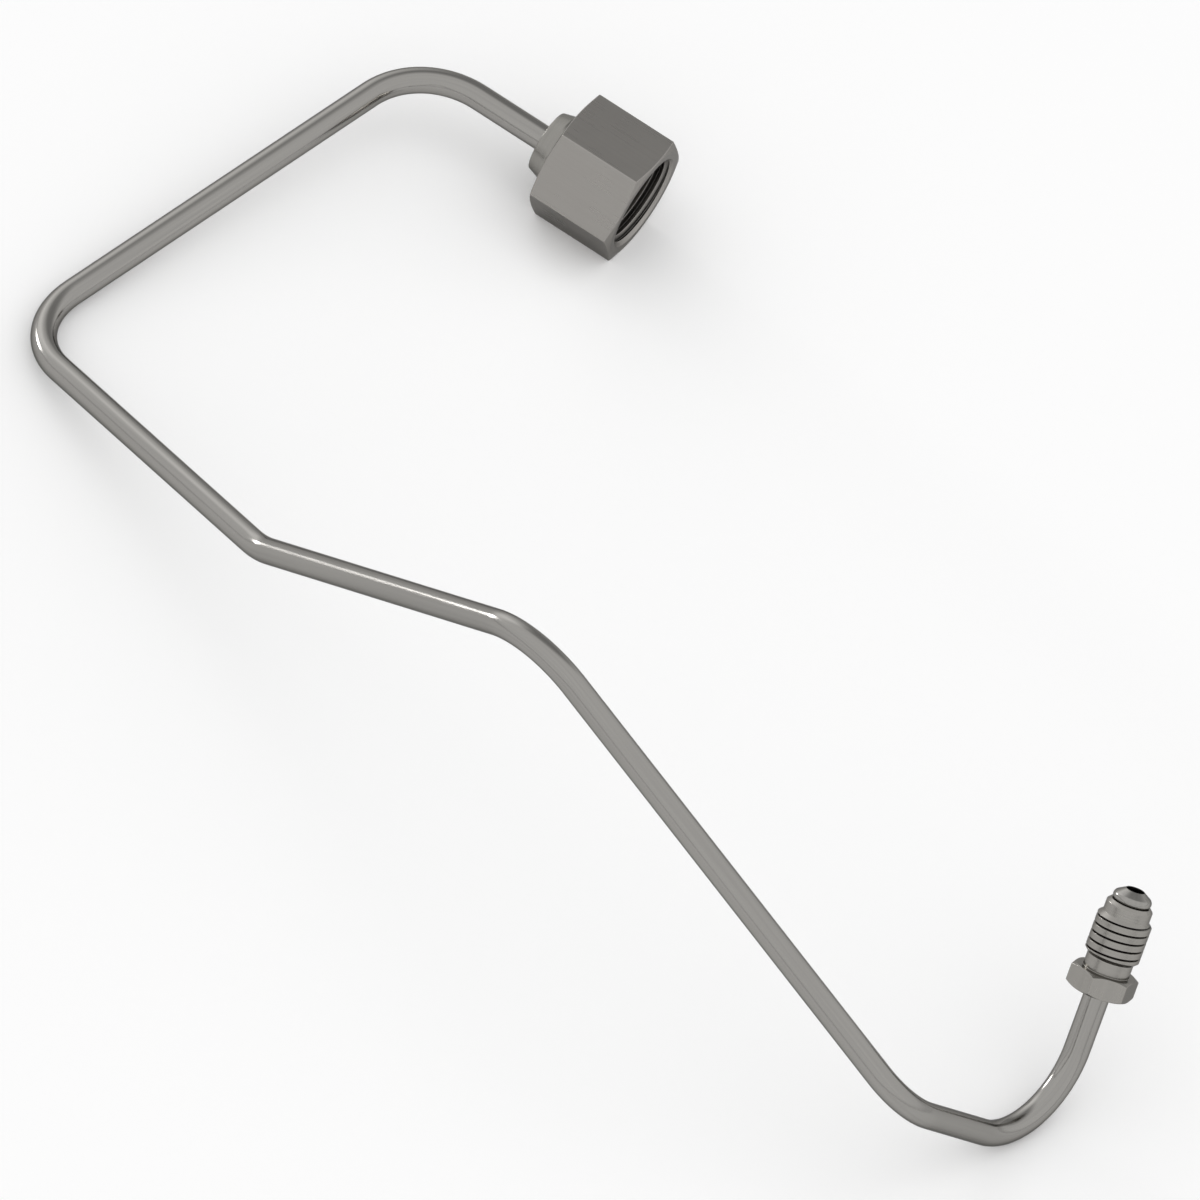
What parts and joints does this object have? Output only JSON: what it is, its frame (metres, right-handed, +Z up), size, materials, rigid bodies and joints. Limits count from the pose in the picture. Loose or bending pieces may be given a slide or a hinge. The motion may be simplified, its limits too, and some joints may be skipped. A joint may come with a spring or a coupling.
{
  "type": "bent tube assembly",
  "caption": "Rigid bent steel fluid tube with a swivelling female union nut on a brazed sleeve at one end and a flared end behind a male tube nut at the other.",
  "frame": {"origin": "middle of the union nut's lower flat, on the surface that the part lies on", "axes": "+X along the union nut's axis, out of its mouth; +Z up, away from the surface"},
  "size_m": [0.236, 0.1678, 0.0755],
  "materials": {
    "tube_steel": "drawn, satin, with fine lines along the tube",
    "sleeve_steel": "turned, satin",
    "union_nut_steel": "cold-drawn hexagon bar, satin flats, turned ends",
    "tube_nut_steel": "cold-drawn hexagon bar, satin flats, turned thread and nose"
  },
  "bodies": {
    "tube": {"tube": "tube_steel", "sleeve": "sleeve_steel"},
    "union_nut": {"union_nut": "union_nut_steel"},
    "tube_nut": {"tube_nut": "tube_nut_steel"}
  },
  "joints": [
    {"name": "union_nut_spin", "type": "hinge", "parent": "tube", "child": "union_nut", "pos_m": [0, 0, 0.011], "axis": [1, 0, 0], "continuous": true},
    {"name": "tube_nut_spin", "type": "hinge", "parent": "tube", "child": "tube_nut", "pos_m": [0.16656, -0.09784, 0.02838], "axis": [-0.1558, 0.525, 0.8367], "continuous": true}
  ]
}
